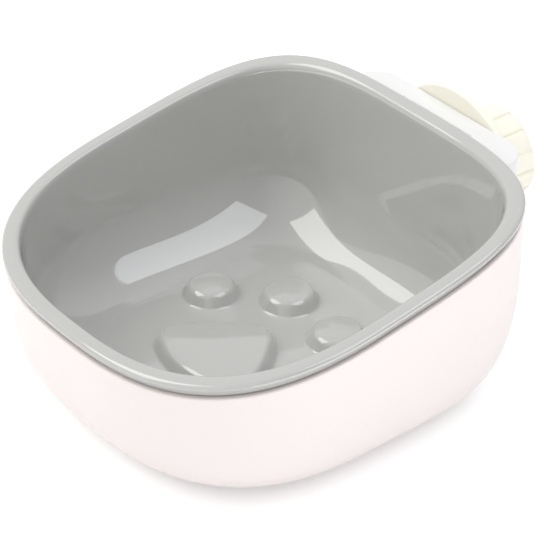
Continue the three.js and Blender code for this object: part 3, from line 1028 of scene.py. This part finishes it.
def moulded_plastic(name, tint, gloss):
    """Moulded plastic: a faint cloudiness in its colour and a slightly uneven gloss"""
    nodes = Nodes(name)
    spot = nodes.add("ShaderNodeTexCoord")
    cloud = nodes.add("ShaderNodeTexNoise", Scale=CLOUD_SCALE, Detail=3, Roughness=0.55)
    fine = nodes.add("ShaderNodeTexNoise", Scale=GLOSS_SCALE, Detail=2, Roughness=0.5)
    for texture in (cloud, fine):
        nodes.link(spot.outputs["Object"], texture.inputs["Vector"])
    tinted = nodes.clouded(cloud, tint, gloss.cloud, NOISE_SPAN)
    uneven = (gloss.roughness * (1 - GLOSS_VARIATION), gloss.roughness * (1 + GLOSS_VARIATION))
    shader = nodes.add("ShaderNodeBsdfPrincipled")
    shader.inputs["IOR"].default_value = gloss.ior
    shader.inputs["Coat Weight"].default_value = gloss.coat
    shader.inputs["Coat Roughness"].default_value = gloss.coat_roughness
    nodes.link(tinted, shader.inputs["Base Color"])
    rough = nodes.map_range(fine.outputs["Fac"], NOISE_SPAN, uneven, "LINEAR")
    nodes.link(rough, shader.inputs["Roughness"])
    output = nodes.add("ShaderNodeOutputMaterial")
    nodes.link(shader.outputs["BSDF"], output.inputs["Surface"])
    return nodes.material


def finish(slot):
    """The plastic of one of the record's slots, made once"""
    name = slot + "_plastic"
    if name in bpy.data.materials:
        return bpy.data.materials[name]
    colours = settings().colours
    made = {
        "bowl_grey": (colours.bowl, GLOSSY),
        "shell_pink": (colours.shell, SHELL_SATIN),
        "hanger_white": (colours.hanger, SATIN),
        "clamp_cream": (colours.clamp, SATIN),
    }
    return moulded_plastic(name, *made[slot])


# Stage

class WorldNodes(Nodes):
    """The world's nodes"""

    def __init__(self, world):
        world.use_nodes = True
        self.tree = world.node_tree
        self.tree.nodes.clear()


def fill_from(nodes, direction, aim, radiance):
    """Light that grows softly towards one side of the studio"""
    toward = nodes.add("ShaderNodeVectorMath", operation="DOT_PRODUCT")
    toward.inputs[1].default_value = Vector(aim).normalized()
    nodes.link(direction, toward.inputs[0])
    return nodes.map_range(toward.outputs["Value"], FILL_SPAN, (0, radiance))


def make_world():
    """A pale studio: walls, a ceiling, and softly more light from the front and from the back left"""
    studio = settings().studio
    world = bpy.data.worlds.new("studio_surround")
    bpy.context.scene.world = world
    nodes = WorldNodes(world)
    spot = nodes.add("ShaderNodeTexCoord")
    direction = spot.outputs["Generated"]
    parts = nodes.add("ShaderNodeSeparateXYZ")
    nodes.link(direction, parts.inputs[0])
    lights = (studio.wall_light, studio.ceiling_light)
    total = nodes.map_range(parts.outputs["Z"], SKYLINE, lights)
    for aim, radiance in ((FRONT_FILL_AIM, studio.front_light), (REAR_FILL_AIM, studio.rear_light)):
        total = nodes.calculate("ADD", total, fill_from(nodes, direction, aim, radiance))
    lit = nodes.add("ShaderNodeBackground")
    lit.inputs["Color"].default_value = (*WHITE, 1)
    nodes.link(total, lit.inputs["Strength"])
    output = nodes.add("ShaderNodeOutputWorld")
    nodes.link(lit.outputs[0], output.inputs["Surface"])


def floor_material():
    """A pale matt floor that keeps the object's shadow and is white for the camera and in reflections"""
    nodes = Nodes("studio_floor")
    spot = nodes.add("ShaderNodeTexCoord")
    cloud = nodes.add("ShaderNodeTexNoise", Scale=FLOOR_CLOUD_SCALE, Detail=2)
    nodes.link(spot.outputs["Object"], cloud.inputs["Vector"])
    matt = nodes.add("ShaderNodeBsdfDiffuse")
    tinted = nodes.clouded(cloud, settings().colours.floor, FLOOR_CLOUD, (0, 1))
    nodes.link(tinted, matt.inputs["Color"])
    reach = nodes.add("ShaderNodeVectorMath", operation="LENGTH")
    nodes.link(spot.outputs["Object"], reach.inputs[0])
    brightness = (settings().studio.floor_glow, 1)
    fade = nodes.map_range(reach.outputs["Value"], FLOOR_FADE, brightness)
    path = nodes.add("ShaderNodeLightPath")
    seen = path.outputs["Is Camera Ray"]
    for kind in ("Is Glossy Ray", "Is Transmission Ray"):
        seen = nodes.calculate("MAXIMUM", seen, path.outputs[kind])
    glow = nodes.add("ShaderNodeEmission")
    nodes.link(nodes.calculate("MULTIPLY", fade, seen), glow.inputs["Strength"])
    both = nodes.add("ShaderNodeAddShader")
    nodes.link(matt.outputs[0], both.inputs[0])
    nodes.link(glow.outputs[0], both.inputs[1])
    output = nodes.add("ShaderNodeOutputMaterial")
    nodes.link(both.outputs[0], output.inputs["Surface"])
    return nodes.material


def make_floor():
    deselect()
    bpy.ops.mesh.primitive_plane_add(size=FLOOR_SIZE)
    floor = named("studio_floor")
    floor.data.materials.append(floor_material())


def soft_box(name, aim, distance, facing, across, half_sizes, radiance, tint):
    """A soft box that shines against its facing, with half sizes for a distance of 1"""
    normal = Vector(facing).normalized()
    side = Vector(across)
    side = (side - normal * side.dot(normal)).normalized()
    upward = normal.cross(side)
    deselect()
    bpy.ops.object.light_add(type="AREA")
    lamp = named(name)
    spot = Vector(aim).normalized() * distance
    lamp.matrix_world = Matrix.Translation(spot) @ Matrix((side, upward, normal)).transposed().to_4x4()
    lamp.data.color = tint
    lamp.data.shape = "RECTANGLE"
    lamp.data.size = 2 * half_sizes[0] * distance
    lamp.data.size_y = 2 * half_sizes[1] * distance
    lamp.data.energy = radiance * math.pi * lamp.data.size * lamp.data.size_y
    lamp.visible_camera = False


def make_lights():
    """Two soft boxes overhead, which the basin mirrors, and a low strip for the shell's right side"""
    studio = settings().studio
    soft_box(
        "right_soft_box",
        aim=(0.461, 0.322, 0.827),
        distance=studio.light_distance,
        facing=(-0.093, -0.522, 0.848),
        across=(-0.933, -0.251, -0.257),
        half_sizes=(0.455, 0.354),
        radiance=studio.right_light,
        tint=studio.right_tint,
    )
    soft_box(
        "left_soft_box",
        aim=(-0.501, -0.441, 0.745),
        distance=studio.light_distance,
        facing=(0.448, -0.236, 0.862),
        across=(0.356, 0.932, 0.071),
        half_sizes=(0.361, 0.405),
        radiance=studio.left_light,
        tint=studio.left_tint,
    )
    soft_box(
        "low_strip",
        aim=(1, -0.05, 0.085),
        distance=studio.strip_distance,
        facing=(1, -0.05, 0),
        across=(0.05, 1, 0),
        half_sizes=(0.6, 0.08),
        radiance=studio.strip_light,
        tint=WHITE,
    )


def make_camera():
    """A camera at the photograph's angle, turned so that the middle of the rim lies where it does there"""
    studio = settings().studio
    mouth = settings().mouth
    level = math.cos(studio.elevation)
    back = Vector(
        (math.sin(studio.azimuth) * level, -math.cos(studio.azimuth) * level, math.sin(studio.elevation))
    )
    right = Vector((math.cos(studio.azimuth), math.sin(studio.azimuth), 0))
    upward = back.cross(right)
    half = studio.image_pixels / 2
    aim = right * (half - studio.centre_x) / studio.focal_pixels
    aim += upward * (studio.centre_y - half) / studio.focal_pixels
    aim -= back
    deselect()
    bpy.ops.object.camera_add(location=Vector((0, 0, mouth.height)) + back * studio.distance)
    camera = named("photo_camera")
    camera.rotation_mode = "QUATERNION"
    camera.rotation_quaternion = aim.to_track_quat("-Z", "Y")
    camera.data.sensor_width = SENSOR_WIDTH
    camera.data.lens = SENSOR_WIDTH * studio.focal_pixels / studio.image_pixels
    camera.data.clip_start = NEAREST_SEEN
    bpy.context.scene.camera = camera


# Operators

class HANGINGBOWL_OT_bowl(bpy.types.Operator):
    """Model the grey basin with its rim and its paw"""

    bl_idname = "hanging_bowl.bowl"
    bl_label = "Basin"

    def execute(self, context):
        finish_piece(make_bowl(), "bowl", "inner_bowl", "bowl_grey")
        return {"FINISHED"}


class HANGINGBOWL_OT_shell(bpy.types.Operator):
    """Model the pale shell with the rail at its back"""

    bl_idname = "hanging_bowl.shell"
    bl_label = "Shell"

    def execute(self, context):
        piece = make_shell()
        combine(piece, rail(), "UNION")
        finish_piece(piece, "shell", "outer_shell", "shell_pink")
        return {"FINISHED"}


class HANGINGBOWL_OT_hanger(bpy.types.Operator):
    """Model the white hanger block with its slot"""

    bl_idname = "hanging_bowl.hanger"
    bl_label = "Hanger"

    def execute(self, context):
        finish_piece(make_hanger(), "hanger", "hanger_block", "hanger_white")
        return {"FINISHED"}


class HANGINGBOWL_OT_clamp(bpy.types.Operator):
    """Model the threaded screw, the clamping disc and the ribbed knob"""

    bl_idname = "hanging_bowl.clamp"
    bl_label = "Screw clamp"

    def execute(self, context):
        finish_piece(make_screw(), "hanger", "clamp_screw", "hanger_white")
        finish_piece(make_disc(), "disc", "clamp_disc", "clamp_cream")
        finish_piece(make_knob(), "knob", "clamp_knob", "clamp_cream")
        return {"FINISHED"}


class HANGINGBOWL_OT_stage(bpy.types.Operator):
    """Set up the floor, the soft light and the camera"""

    bl_idname = "hanging_bowl.stage"
    bl_label = "Stage"

    def execute(self, context):
        make_world()
        make_floor()
        make_lights()
        make_camera()
        context.scene.view_settings.view_transform = "Standard"
        return {"FINISHED"}


class HANGINGBOWL_PT_panel(bpy.types.Panel):
    """The steps and the settings of the hanging bowl"""

    bl_idname = "HANGINGBOWL_PT_panel"
    bl_label = "Hanging bowl"
    bl_space_type = "VIEW_3D"
    bl_region_type = "UI"
    bl_category = "Hanging bowl"

    def draw(self, context):
        for step in STEPS:
            self.layout.operator(step.bl_idname)
        for part in HangingBowlSettings.__annotations__:
            box = self.layout.box()
            box.label(text=part.capitalize())
            values = getattr(settings(), part)
            for key in values.__annotations__:
                box.prop(values, key)


STEPS = (
    HANGINGBOWL_OT_stage,
    HANGINGBOWL_OT_bowl,
    HANGINGBOWL_OT_shell,
    HANGINGBOWL_OT_hanger,
    HANGINGBOWL_OT_clamp,
)
CLASSES = (
    MouthSizes,
    BasinSizes,
    PawSizes,
    ShellSizes,
    HangerSizes,
    ClampSizes,
    FinishColours,
    StudioSettings,
    HangingBowlSettings,
    *STEPS,
    HANGINGBOWL_PT_panel,
)


def register():
    for item in CLASSES:
        bpy.utils.register_class(item)
    bpy.types.Scene.hanging_bowl = bpy.props.PointerProperty(
        type=HangingBowlSettings, name="Hanging bowl", description="Settings of the hanging bowl"
    )


def unregister():
    del bpy.types.Scene.hanging_bowl
    for item in reversed(CLASSES):
        bpy.utils.unregister_class(item)


def main():
    register()
    bpy.ops.hanging_bowl.stage()
    bpy.ops.hanging_bowl.bowl()
    bpy.ops.hanging_bowl.shell()
    bpy.ops.hanging_bowl.hanger()
    bpy.ops.hanging_bowl.clamp()


if __name__ == "__main__":
    main()
